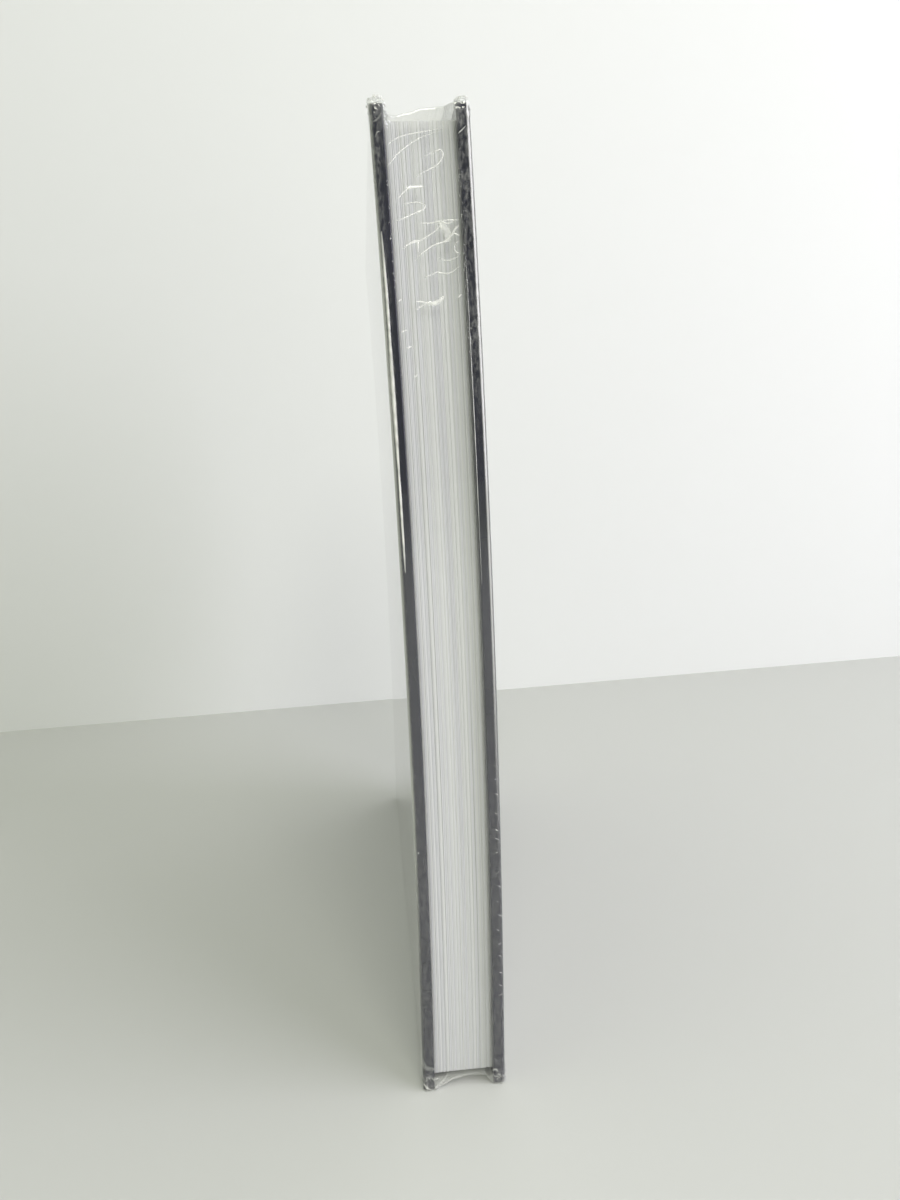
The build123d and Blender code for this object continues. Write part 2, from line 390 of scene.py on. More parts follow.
def along(share, stops):
    """Reads a bent line of (share, length) stops at one share."""
    for (share_a, length_a), (share_b, length_b) in zip(stops, stops[1:]):
        if share <= share_b:
            return length_a + (length_b - length_a) * (share - share_a) / (share_b - share_a)
    return stops[-1][1]


def along_smooth(value, stops):
    """Reads a smooth curve through (place, length) stops."""
    if value <= stops[0][0]:
        return stops[0][1]
    for (place_a, length_a), (place_b, length_b) in zip(stops, stops[1:]):
        if value <= place_b:
            return length_a + (length_b - length_a) * fade(value, place_a, place_b)
    return stops[-1][1]


def fold_at(spot, sharpness):
    """1 on the lines where the noise passes through zero, falling to 0 beside them."""
    return 1 - min(1.0, abs(noise.noise(spot)) * sharpness)


# Page block

LEAF_COLUMNS = 150
BLOCK_ROWS = 26
SIGNATURES = 16
LEAF_UNEVENNESS = 0.09 * MM
NOTCH_LEAST, NOTCH_MOST = 0.10 * MM, 0.34 * MM
PAGE_SEED = 7

# Half a unit cube, and where its outer faces are told from what lies inside
CUBE_HALF = 0.5
CUBE_FACE = 0.49

# Edges of the block that turn further than this stay sharp
SQUARE_TURN = math.radians(80)


def build_pages():
    """The page block: every leaf's edge stands a little in or out on the three trimmed sides."""
    form = bmesh.new()
    bmesh.ops.create_cube(form, size=1.0)
    upright = [e for e in form.edges if abs(e.verts[0].co.z - e.verts[1].co.z) > CUBE_HALF]
    bmesh.ops.subdivide_edges(form, edges=upright, cuts=BLOCK_ROWS - 1, use_grid_fill=True)
    crosswise = [e for e in form.edges if abs(e.verts[0].co.x - e.verts[1].co.x) > CUBE_HALF]
    bmesh.ops.subdivide_edges(form, edges=crosswise, cuts=LEAF_COLUMNS - 1, use_grid_fill=True)
    chance = random.Random(PAGE_SEED)
    dips = [chance.uniform(0.0, LEAF_UNEVENNESS) for _ in range(LEAF_COLUMNS + 1)]
    for signature in range(1, SIGNATURES):
        dips[round(signature * LEAF_COLUMNS / SIGNATURES)] += chance.uniform(NOTCH_LEAST, NOTCH_MOST)
    unwrapped = form.loops.layers.uv.new("leaves")
    depth = block_high.y - block_low.y
    height = block_high.z - block_low.z
    for face in form.faces:
        for loop in face.loops:
            place = loop.vert.co
            upwards = place.y if abs(face.normal.z) > 0.5 else place.z
            loop[unwrapped].uv = (place.x + CUBE_HALF, upwards + CUBE_HALF)
    for vert in form.verts:
        across, deep, high = vert.co
        dip = dips[round((across + CUBE_HALF) * LEAF_COLUMNS)]
        x = across * 2 * BLOCK_HALF
        y = (block_low.y + block_high.y) / 2 + deep * depth + (dip if deep < -CUBE_FACE else 0.0)
        z = (block_low.z + block_high.z) / 2 + high * height
        if abs(high) > CUBE_FACE:
            z -= math.copysign(dip, high)
        vert.co = (x + bow_at(z), y, z)
    for edge in form.edges:
        edge.smooth = edge.calc_face_angle() < SQUARE_TURN
    return form


# Covers

SLAB_ROWS = 40
ROUNDING_STEPS = 5

# From a board's inner face to the joint's outer one: the lining and two thicknesses of covering
JOINT_STAND_OFF = 0.66 * MM

# Edges that turn further than this, in radians, are rounded
SHARP_TURN = 1.0
TOUCHING = 1e-6


def turns_sharply(edge):
    """Whether an edge is a square corner."""
    return edge.calc_face_angle(0.0) > SHARP_TURN


def add_slab(form, low, high, rounded):
    """One covered board: a block in an empty form, with (radius, which edges) roundings."""
    slab = bmesh.ops.create_cube(form, size=1.0)["verts"]
    centre = (low + high) / 2
    size = high - low
    for vert in slab:
        vert.co = Vector((vert.co.x * size.x, vert.co.y * size.y, vert.co.z * size.z)) + centre
    for radius, wanted in rounded:
        edges = [e for e in form.edges if wanted(e)]
        bmesh.ops.bevel(
            form, geom=edges, offset=radius, segments=ROUNDING_STEPS, profile=0.5,
            affect="EDGES", material=-1,
        )


def build_covers():
    """The covering over both boards and the spine board, joined by the sunk joints."""
    form = bmesh.new()
    board_back = board_high.y + COVERING
    spine_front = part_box("spine_board")[0].y - COVERING
    for side in (-1, 1):
        near, far = sorted((side * CAVITY_HALF, side * CASE_HALF))
        outer = side * CASE_HALF
        slab = bmesh.new()
        low = Vector((near, case_low.y, case_low.z))
        high = Vector((far, board_back, case_high.z))

        def outer_fore(edge, outer=outer):
            on_face = all(abs(v.co.x - outer) < TOUCHING for v in edge.verts)
            return on_face and all(v.co.y < case_low.y + TOUCHING for v in edge.verts)

        add_slab(slab, low, high, ((FORE_RADIUS, outer_fore), (EDGE_RADIUS, turns_sharply)))
        move_in(form, slab)
    spine = bmesh.new()
    low = Vector((-CASE_HALF, spine_front, case_low.z))
    high = Vector((CASE_HALF, case_high.y, case_high.z))
    add_slab(spine, low, high, ((EDGE_RADIUS, turns_sharply),))
    move_in(form, spine)
    groove_half = CAVITY_HALF + JOINT_STAND_OFF
    for side in (-1, 1):
        strip = bmesh.new()
        near, far = sorted((side * (groove_half - 2 * COVERING), side * groove_half))
        low = Vector((near, board_back - EDGE_RADIUS, case_low.z))
        high = Vector((far, spine_front + EDGE_RADIUS, case_high.z))
        add_slab(strip, low, high, ())
        move_in(form, strip)
    for row in range(1, SLAB_ROWS):
        level = case_low.z + CASE_HEIGHT * row / SLAB_ROWS
        everything = form.verts[:] + form.edges[:] + form.faces[:]
        bmesh.ops.bisect_plane(form, geom=everything, plane_co=(0, 0, level), plane_no=(0, 0, 1))
    for vert in form.verts:
        vert.co.x += bow_at(vert.co.z)
    return form


# Shrink film: a closed skin laid on the book, with its creases raised on it

FILM_COLUMNS = 84
FILM_ROWS = 230
FILM_DEPTHS = 30
FILM_HALF = CASE_HALF + FILM
FILM_FORE = case_low.y - FILM
FILM_BACK = case_high.y + FILM
FILM_HEAD = case_high.z + FILM
NET_SEAM = 1e-4

# Rounding of the film at the boards' outer fore-edges, and the depth where it ends
FILM_CORNER = 1.35 * MM
FORE_CORE = FILM_FORE + FILM_CORNER

# Where the net's columns, rows and depths lie: share of the net, place on the book
ACROSS_STOPS = ((0.0, 0.0), (0.66, CAVITY_HALF), (0.82, FILM_HALF - FILM_CORNER), (1.0, FILM_HALF))
UP_STOPS = (
    (0.0, 0.0),
    (0.10, 8 * MM),
    (0.30, 170 * MM),
    (0.84, 252 * MM),
    (1.0, FILM_HEAD),
)
DEEP_STOPS = (
    (0.0, FILM_FORE),
    (0.24, FILM_FORE + 1.3 * MM),
    (0.50, FILM_FORE + 9 * MM),
    (0.78, FILM_BACK - 14 * MM),
    (1.0, FILM_BACK),
)

# How far the film dips between the boards at the fore-edge's ends, in mm: from the middle, dip
HEAD_DIP = ((-8.45, 1.0), (-7.4, 2.4), (-6.0, 2.7), (-3.0, 1.9), (1.0, 0.9), (5.2, 0.8), (8.45, 0.1))
TAIL_DIP = ((-8.45, 0.0), (-7.0, 0.6), (-2.6, 1.9), (1.7, 2.7), (6.0, 2.8), (8.45, 0.4))

# How far it is pulled in over the fore-edge's ends, and the heights between which that sets in
HEAD_PULL = 1.4 * MM
TAIL_PULL = 1.3 * MM
HEAD_PULL_ZONE = (246 * MM, 256 * MM)
TAIL_PULL_ZONE = (2 * MM, 12 * MM)

# Slack waves over the fore-edge's upper part
SLACK_ZONE = (185 * MM, 215 * MM)
SLACK_WAVE = 0.09 * MM
BROAD_WAVE, BROAD_SLANT = 2.3 * MM, 700
FINE_WAVE, FINE_SLANT = 1.1 * MM, 900
FINE_SHARE, FINE_PHASE = 0.6, 1.3

# Where the head and tail sheets of the film turn even, and where they end at the spine
INWARD_ZONE = (FILM_FORE + 4 * MM, FILM_FORE + 30 * MM)
SPINE_ZONE = (FILM_BACK - 10 * MM, FILM_BACK - 3 * MM)

# Where the dips begin: behind the fore-edge, under the head and over the tail
FRONT_ZONE = (FILM_FORE, FILM_FORE + 14 * MM)
ABOVE_ZONE = (FILM_HEAD - 10 * MM, FILM_HEAD - 0.3 * MM)
BELOW_ZONE = (0.3 * MM, 10 * MM)

# Haze of the film where it bridges the boards at the head and tail, partly the film's own haziness and
# partly painted light that lightens the film there
HEAD_HAZE_AND_PAINTED_LIGHT, TAIL_HAZE_AND_PAINTED_LIGHT = 0.24, 0.30
HEAD_HAZE_ZONE = (253 * MM, 256.5 * MM)
TAIL_HAZE_ZONE = (1.5 * MM, 4 * MM)
HAZE_DEPTH_ZONE = (-92 * MM, -70 * MM)
HAZE_REACH = 0.8

# Painted reflection on the film over the boards' outer corners, which runs out behind the corner; the right
# one leaves a dark rim at the outer edge
CORNER_PAINTED_REFLECTION = 0.42
EDGE_ZONE = (FORE_CORE, FORE_CORE + 2 * MM)
LEFT_REFLECTION_ZONE = (FILM_HALF - 0.95 * MM, FILM_HALF - 0.1 * MM)
LEFT_REFLECTION_RISE = (10 * MM, 90 * MM)
LEFT_REFLECTION_FALL = (225 * MM, 250 * MM)
LEFT_REFLECTION_LOSS = 0.5
RIGHT_REFLECTION_ZONE = (FILM_HALF - 1.25 * MM, FILM_HALF - 0.75 * MM)
RIGHT_RIM_ZONE = (FILM_HALF - 0.52 * MM, FILM_HALF - 0.34 * MM)
RIGHT_REFLECTION_RISE = (55 * MM, 150 * MM)

# Patchy bloom on the boards' front edges, and a painted reflection of the pale floor that lightens their
# lower part
BOARD_ZONE = (CAVITY_HALF - 0.2 * MM, CAVITY_HALF + 0.3 * MM)
OUTER_ZONE = (CAVITY_HALF + 1.1 * MM, CAVITY_HALF + 1.9 * MM)
LOW_REFLECTION_ZONE = (60 * MM, 110 * MM)
HIGH_BLOOM_ZONE = (170 * MM, 215 * MM)
HEAD_BLOOM_ZONE = (235 * MM, 250 * MM)
LEFT_LOW_PAINTED_REFLECTION, LEFT_HIGH_BLOOM, LEFT_HEAD_BLOOM = 0.10, 0.14, 0.06
RIGHT_BLOOM, RIGHT_LOW_PAINTED_REFLECTION, RIGHT_HIGH_BLOOM = 0.01, 0.09, 0.15


def sag_share(across):
    """1 midway between the boards, falling to 0 at their inner edges."""
    share = min(1.0, abs(across) / CAVITY_HALF)
    return 1 - share * share


def fore_dip(across, height):
    """How far the film over the fore-edge lies behind the boards' front edges."""
    tail = 1 - fade(height, *TAIL_PULL_ZONE)
    head = fade(height, *HEAD_PULL_ZONE)
    depth = FORE_SAG + (TAIL_PULL - FORE_SAG) * tail + (HEAD_PULL - FORE_SAG) * head
    slack = fade(height, *SLACK_ZONE) * (1 - tail - head)
    broad = math.sin(height / BROAD_WAVE - BROAD_SLANT * across)
    fine = math.sin(height / FINE_WAVE + FINE_SLANT * across + FINE_PHASE)
    return sag_share(across) * (depth + SLACK_WAVE * (broad + FINE_SHARE * fine) * slack)


def end_dip(across, depth_y, stops, sag):
    """How far the head or tail sheet of the film dips, uneven at the fore-edge and even further in."""
    uneven = along_smooth(across / MM, stops) * MM
    even = sag * sag_share(across)
    inward = fade(depth_y, *INWARD_ZONE)
    spine = 1 - fade(depth_y, *SPINE_ZONE)
    return (uneven + (even - uneven) * inward) * spine


# Where the film is gathered in crumples: across, depth, height, reach and height of the folds in mm
GATHERS = (
    (-10.0, -104.5, 1.5, 8.5, 0.55),
    (9.6, -104.5, 2.0, 6.5, 0.50),
    (-10.2, -104.0, 260.0, 7.0, 0.35),
    (10.2, -104.0, 260.0, 7.0, 0.35),
    (-10.0, 104.5, 1.5, 9.0, 0.40),
    (10.0, 104.5, 1.5, 9.0, 0.40),
    (-10.0, 104.5, 260.0, 9.0, 0.40),
    (10.0, 104.5, 260.0, 9.0, 0.40),
)
GATHER_CORE = 0.15
FOLDS_PER_METRE = 640
FOLD_UPRIGHT = 0.8
FOLD_SHARPNESS = 3.0
FINER = 2.1
FINE_SHIFT = Vector((9, 2, 5))
BROAD_FOLD, CROSSED_FOLD = 0.45, 0.75
FOLD_STAND_OFF = 0.8

# A fold turns white from this height in mm on, by this much a mm, up to the most; the white is partly the
# film's whitening and partly a painted glint on the fold
MILK_AND_GLINT_FROM, MILK_AND_GLINT_RISE, MILK_AND_GLINT_MOST = 0.22, 1.3, 0.7


def crumple(across, depth_y, height):
    """How far the film stands off in gathered folds, and how white it is on them, partly whitening and
    partly painted glints.
    """
    stand_off = 0.0
    for gather_x, gather_y, gather_z, reach, fold in GATHERS:
        gap = Vector((across / MM - gather_x, depth_y / MM - gather_y, height / MM - gather_z)).length
        strength = 1 - fade(gap, GATHER_CORE * reach, reach)
        if strength > 0:
            spot = Vector((across, depth_y, height * FOLD_UPRIGHT)) * FOLDS_PER_METRE
            broad = fold_at(spot, FOLD_SHARPNESS)
            fine = fold_at(spot * FINER + FINE_SHIFT, FOLD_SHARPNESS)
            stand_off = max(stand_off, strength * fold * (BROAD_FOLD * broad + CROSSED_FOLD * broad * fine))
    return stand_off * MM, min(MILK_AND_GLINT_MOST, MILK_AND_GLINT_RISE * max(0.0, stand_off - MILK_AND_GLINT_FROM))


def corner_painted_reflection(across, height):
    """Painted reflection: how white the film is made on the boards' outer corners, as bright strips where it
    mirrors the light.
    """
    if across < 0:
        out = fade(-across, *LEFT_REFLECTION_ZONE)
        loss = LEFT_REFLECTION_LOSS * fade(height, *LEFT_REFLECTION_FALL)
        return CORNER_PAINTED_REFLECTION * out * fade(height, *LEFT_REFLECTION_RISE) * (1 - loss)
    rim = fade(across, *RIGHT_RIM_ZONE)
    out = fade(across, *RIGHT_REFLECTION_ZONE) * (1 - rim)
    return CORNER_PAINTED_REFLECTION * out * fade(height, *RIGHT_REFLECTION_RISE)


def edge_mottling_and_painted_reflection(across, height):
    """How patchy the film's bloom is on the boards' front edges, with a painted reflection of the floor
    lightening their lower part.
    """
    on_board = fade(abs(across), *BOARD_ZONE)
    upper = fade(height, *HIGH_BLOOM_ZONE)
    lower = 1 - fade(height, *LOW_REFLECTION_ZONE)
    if across < 0:
        outer = fade(abs(across), *OUTER_ZONE)
        head = fade(height, *HEAD_BLOOM_ZONE)
        return on_board * (LEFT_LOW_PAINTED_REFLECTION * lower + LEFT_HIGH_BLOOM * upper * outer + LEFT_HEAD_BLOOM * head)
    return on_board * (RIGHT_BLOOM + RIGHT_LOW_PAINTED_REFLECTION * lower + RIGHT_HIGH_BLOOM * upper)


def film_place(column, depth, row):
    """Where a point of the film's box-shaped net lies on the book, and how milky and patchy it is."""
    x = math.copysign(along(abs(column), ACROSS_STOPS), column)
    y = along(depth, DEEP_STOPS)
    z = along(row, UP_STOPS)
    corner = EDGE_RADIUS + FILM
    core = Vector((
        max(FILM_CORNER - FILM_HALF, min(FILM_HALF - FILM_CORNER, x)),
        max(FORE_CORE, min(FILM_BACK - corner, y)),
        max(corner, min(FILM_HEAD - corner, z)),
    ))
    out = Vector((x, y, z)) - core
    reach = FILM_CORNER if y < FORE_CORE or abs(x) > FILM_HALF - FILM_CORNER else corner
    if out.length > 0:
        out = out.normalized()
        x, y, z = core + out * min((Vector((x, y, z)) - core).length, reach)
    if abs(x) < CAVITY_HALF:
        y += fore_dip(x, z) * (1 - fade(y, *FRONT_ZONE))
        above = fade(z, *ABOVE_ZONE)
        below = 1 - fade(z, *BELOW_ZONE)
        z -= end_dip(x, y, HEAD_DIP, HEAD_SAG) * above
        z += end_dip(x, y, TAIL_DIP, TAIL_SAG) * below
    stand_off, milky_with_painted_light = crumple(x, y, z)
    at_corner = 1 - fade(y, *EDGE_ZONE)
    # Painted reflection on the boards' outer corners
    milky_with_painted_light += corner_painted_reflection(x, z) * at_corner
    # Head and tail haze, partly painted light
    end_haze_and_painted_light = HEAD_HAZE_AND_PAINTED_LIGHT * fade(z, *HEAD_HAZE_ZONE) + TAIL_HAZE_AND_PAINTED_LIGHT * (1 - fade(z, *TAIL_HAZE_ZONE))
    milky_with_painted_light += end_haze_and_painted_light * sag_share(HAZE_REACH * x) * (1 - fade(y, *HAZE_DEPTH_ZONE))
    # Patchy bloom, and a painted reflection low on the boards
    patchy = edge_mottling_and_painted_reflection(x, z) * at_corner
    place = Vector((x, y, z)) + out * stand_off * FOLD_STAND_OFF
    place.z = max(0.0, place.z)
    return Vector((place.x + bow_at(z), place.y, place.z)), milky_with_painted_light, patchy


def build_skin(form, layer, patches):
    """The film's closed skin, drawn as a net over a box and then laid on the book."""
    upright = Matrix.Rotation(math.pi / 2, 4, "X")
    sideways = Matrix.Rotation(math.pi / 2, 4, "Y")
    for side in (-1, 1):
        bmesh.ops.create_grid(
            form, x_segments=FILM_COLUMNS, y_segments=FILM_ROWS, size=1.0,
            matrix=Matrix.Translation((0, side, 0)) @ upright,
        )
        bmesh.ops.create_grid(
            form, x_segments=FILM_ROWS, y_segments=FILM_DEPTHS, size=1.0,
            matrix=Matrix.Translation((side, 0, 0)) @ sideways,
        )
        bmesh.ops.create_grid(
            form, x_segments=FILM_COLUMNS, y_segments=FILM_DEPTHS, size=1.0,
            matrix=Matrix.Translation((0, 0, side)),
        )
    bmesh.ops.remove_doubles(form, verts=form.verts, dist=NET_SEAM)
    for vert in form.verts:
        column, deep, high = vert.co
        vert.co, vert[layer], vert[patches] = film_place(column, (deep + 1) / 2, (high + 1) / 2)
    bmesh.ops.recalc_face_normals(form, faces=form.faces)


# Creases over the fore-edge, as seen from the front: width and whiteness, then (across, height) in mm; the
# ridges are raised in the mesh, and their whiteness is partly the creased film's whitening and partly
# painted highlight
CREASES = {
    "upper arc": (0.36, 0.55, ((-8.2, 251.0), (-5.8, 252.6), (-3.5, 253.4), (1.0, 254.2), (5.3, 254.8))),
    "long arc": (0.34, 0.60, ((-8.5, 246.3), (-7.0, 247.9), (-5.2, 249.7), (-0.5, 252.7), (5.3, 254.5))),
    "hairpin": (0.42, 0.80, (
        (0.3, 248.6), (2.6, 249.5), (4.3, 250.0), (4.8, 249.2),
        (4.5, 247.9), (3.0, 246.5), (0.5, 245.4), (-1.8, 244.2),
    )),
    "dash": (0.72, 1.0, ((-0.2, 242.0), (-1.6, 242.0), (-3.0, 241.9), (-4.3, 241.7))),
    "dash blot": (0.85, 1.0, ((-2.9, 242.0), (-3.5, 241.8), (-4.3, 241.4))),
    "dash tail": (0.36, 0.60, ((-3.8, 241.7), (-5.3, 240.5), (-6.6, 239.2))),
    "small hairpin": (0.45, 0.80, (
        (-5.4, 238.1), (-2.3, 238.5), (-0.3, 237.9), (-0.5, 237.0),
        (-2.4, 236.2), (-5.0, 235.1), (-7.4, 234.3),
    )),
    "upper fork": (0.44, 0.90, ((-1.6, 233.9), (1.0, 233.8), (3.2, 234.1), (5.0, 233.5), (6.9, 234.3))),
    "fork back": (0.42, 0.80, ((3.3, 233.4), (2.2, 232.2), (0.6, 231.2), (-2.0, 229.9), (-5.4, 228.9))),
    "cluster": (2.3, 0.55, ((3.2, 234.2), (4.1, 232.6), (4.8, 231.0), (4.9, 229.4))),
    "cluster side": (0.75, 0.80, ((2.9, 233.9), (3.3, 233.2), (3.4, 232.3))),
    "cluster foot": (0.85, 0.95, ((3.3, 229.3), (4.2, 229.6), (5.0, 230.2), (5.6, 231.2))),
    "cluster top": (0.60, 0.55, ((3.0, 234.0), (4.6, 234.3), (6.2, 234.2), (7.8, 234.3))),
    "cluster fan": (0.60, 0.90, ((4.6, 229.8), (5.8, 231.0), (6.6, 232.2), (7.6, 233.0))),
    "cluster twig": (0.44, 0.80, ((5.4, 230.8), (6.4, 231.2), (7.6, 230.6))),
    "cluster hook": (0.40, 0.70, ((7.4, 229.6), (6.2, 228.4), (6.6, 226.9), (7.6, 226.7))),
    "small arch": (0.42, 0.80, ((-6.2, 228.0), (-4.2, 229.4), (-2.6, 230.0), (-2.4, 229.0), (-2.6, 226.8))),
    "rising line": (0.46, 0.75, ((-3.4, 225.6), (-1.0, 227.4), (1.4, 228.8), (4.4, 229.6), (5.4, 230.4))),
    "hanging line": (0.36, 0.60, ((2.4, 225.8), (4.0, 225.2), (5.4, 225.3), (7.6, 226.3))),
    "lower wave": (0.42, 0.75, (
        (-1.6, 221.3), (0.4, 222.1), (1.7, 222.6), (3.9, 222.2), (5.4, 222.6), (7.2, 223.8),
    )),
    "bow": (1.30, 1.0, ((-1.2, 215.5), (0.4, 215.4), (1.8, 215.9), (3.1, 216.8))),
    "bow string": (0.50, 0.75, ((-4.0, 215.9), (-2.4, 215.9), (-0.8, 215.4))),
    "bow tail": (0.34, 0.55, ((-4.2, 213.8), (-2.6, 214.8), (-0.8, 215.5))),
    "speck high": (0.50, 0.75, ((6.2, 216.4), (6.7, 216.8), (7.2, 217.2))),
    "speck far left": (0.40, 0.50, ((-8.3, 215.8), (-7.7, 216.2), (-7.2, 216.5))),
    "speck left": (0.44, 0.65, ((-8.0, 208.8), (-7.3, 209.1), (-6.5, 209.4))),
    "speck low": (0.44, 0.60, ((-6.9, 204.9), (-6.2, 205.3), (-5.3, 205.5))),
    "speck lower": (0.44, 0.60, ((-5.6, 197.8), (-5.1, 198.4), (-4.7, 198.9))),
    "tail pleat": (1.0, 0.45, ((-8.4, 0.9), (-7.0, 1.7), (-5.6, 2.9), (-4.2, 4.4))),
    "tail pleat beside": (0.6, 0.35, ((-8.4, 2.3), (-7.3, 2.9), (-6.2, 3.9))),
    "tail pleat low": (0.6, 0.35, ((-7.2, 0.9), (-5.2, 1.5), (-3.4, 2.4), (-1.6, 3.0))),
    "tail glint": (0.55, 0.9, ((-8.1, 3.3), (-7.8, 3.6), (-7.4, 3.6))),
}

# Creases on the boards' front edges; the bright lines up the left board are painted highlights, and the
# others' whiteness is partly whitening and partly painted glint
EDGE_CREASES = {
    "left bright line": (0.80, 1.2, (
        (-11.0, 232.0), (-10.9, 224.0), (-10.8, 216.0), (-10.8, 208.0), (-10.8, 200.0),
    )),
    "left bright middle": (1.15, 1.3, (
        (-10.8, 210.0), (-10.8, 202.0), (-10.8, 194.0), (-10.75, 184.0), (-10.7, 174.0),
    )),
    "left bright low": (0.75, 1.2, ((-10.75, 180.0), (-10.7, 170.0), (-10.65, 160.0), (-10.6, 150.0))),
    "right inner line": (0.30, 0.60, (
        (8.75, 226.0), (8.75, 206.0), (8.8, 186.0), (8.8, 166.0), (8.85, 146.0),
    )),
    "right scratch": (0.30, 0.65, ((8.6, 253.2), (9.6, 254.0), (10.6, 254.9))),
    "left head fold": (0.40, 0.25, ((-11.2, 256.0), (-10.0, 256.6), (-8.9, 257.8))),
    "left head nick": (0.30, 0.30, ((-10.9, 252.6), (-10.2, 253.8), (-9.4, 254.0))),
    "left tail band": (1.5, 0.20, ((-12.1, 10.6), (-11.5, 8.6), (-10.4, 7.3), (-8.2, 6.8))),
    "left tail corner": (0.8, 0.85, ((-11.7, 2.4), (-11.1, 1.5), (-10.4, 0.8), (-9.6, 0.3))),
    "left tail fleck": (0.34, 0.55, ((-9.4, 4.3), (-8.8, 3.4), (-8.5, 2.6))),
    "left tail slash": (0.26, 0.45, ((-10.4, 4.6), (-9.9, 3.8), (-9.6, 2.9))),
    "right tail knot": (0.70, 0.50, ((8.1, 4.4), (8.8, 4.8), (9.4, 4.5), (9.6, 3.8))),
    "right tail loop": (0.36, 0.60, ((8.2, 3.6), (8.8, 2.6), (9.8, 2.3), (10.4, 1.5))),
    "right tail glint": (0.30, 0.60, ((9.4, 3.0), (10.2, 2.8), (10.8, 1.8))),
}


def smooth_route(points, steps):
    """Evenly stepped points on a smooth curve through the given ones."""
    ends = [points[0], *points, points[-1]]
    places = []
    for number in range(1, len(ends) - 2):
        before, start, end, after = (Vector(p) for p in ends[number - 1:number + 3])
        for step in range(steps):
            t = step / steps
            places.append(0.5 * (
                2 * start + (end - before) * t + (2 * before - 5 * start + 4 * end - after) * t**2
                + (3 * start - before - 3 * end + after) * t**3
            ))
    places.append(Vector(points[-1]))
    return places


CREASE_STEPS = 6
CREASE_LANES = 4

# A crease's height and the depth of its root in mm, the height being at most this share of its width
CREASE_LIFT = 0.14
CREASE_ROOT = 0.02
CREASE_SLOPE = 0.30

# How a crease narrows to its ends: a sine from its start, over its span, raised to a power
TAPER_START, TAPER_SPAN, TAPER_POWER = 0.08, 0.84, 0.6

# Beads of whiteness along a crease, partly painted highlight
BEADS_PER_METRE = 900
BEAD_FAINT = 0.62
BEAD_ZONE = (-0.25, 0.3)


def add_crease(form, layer, points, width, milk_and_painted_light, dip):
    """A raised ridge along a route on the fore-edge, tapered at both ends and rooted in the skin."""
    route = smooth_route([Vector(p) * MM for p in points], CREASE_STEPS)
    grid = bmesh.ops.create_grid(
        form, x_segments=len(route) - 1, y_segments=CREASE_LANES, size=1.0
    )["verts"]
    last = len(route) - 1
    for vert in grid:
        place = round((vert.co.x + 1) / 2 * last)
        lane = vert.co.y
        ahead, behind = route[min(last, place + 1)], route[max(0, place - 1)]
        forward = (ahead - behind).normalized()
        taper = math.sin(math.pi * (TAPER_START + TAPER_SPAN * place / last)) ** TAPER_POWER
        sideways = Vector((-forward.y, forward.x)) * lane * width * MM / 2 * taper
        across, height = route[place] + sideways
        crown = 1 - lane**2
        lift = (min(CREASE_SLOPE * width, CREASE_LIFT) * crown - CREASE_ROOT) * MM * taper
        vert.co = (across + bow_at(height), FILM_FORE + dip(across, height) - lift, height)
        grain = noise.noise(Vector((across, height, 0)) * BEADS_PER_METRE)
        bead = BEAD_FAINT + (1 - BEAD_FAINT) * fade(grain, *BEAD_ZONE)
        # Whiteness on the crest: partly whitening of the creased film, partly painted highlight
        vert[layer] = min(1.0, milk_and_painted_light * taper * bead) * crown


def board_dip(across, height):
    """The film's depth on a board's front edge, following its rounded outer corner."""
    over = abs(across) - (FILM_HALF - FILM_CORNER)
    if over <= 0:
        return 0.0
    return FILM_CORNER - math.sqrt(max(0.0, FILM_CORNER**2 - over**2))


CREASE_SEED = 11

# Short ticks up the right board's front edge, in mm: small raised crinkles whose whiteness is painted glint
TICK_COUNT = 17
TICK_LOW, TICK_HIGH = 28.0, 96.0
TICK_ACROSS = 10.2
TICK_STRAY = 0.3
TICK_LENGTHS = (0.5, 1.3)
TICK_LEANS = (-0.7, -0.6, 0.25, 0.6)
TICK_WIDTHS = (0.18, 0.32)
TICK_PAINTED_GLINT = (0.3, 0.75)

# Rows of specks, small raised crinkles whose whiteness is painted glint: across, lowest and highest in mm,
# and how many
SPECK_ROWS = (
    (-8.75, 219.0, 244.0, 22),
    (8.3, 203.0, 250.0, 30),
    (8.9, 203.0, 250.0, 14),
    (-11.0, 40.0, 150.0, 20),
)
SPECK_STRAY = 0.25
SPECK_SIDEWAYS, SPECK_UPWARDS = 0.45, 0.6
SPECK_WIDTHS = (0.14, 0.30)
SPECK_PAINTED_GLINT = (0.25, 0.8)


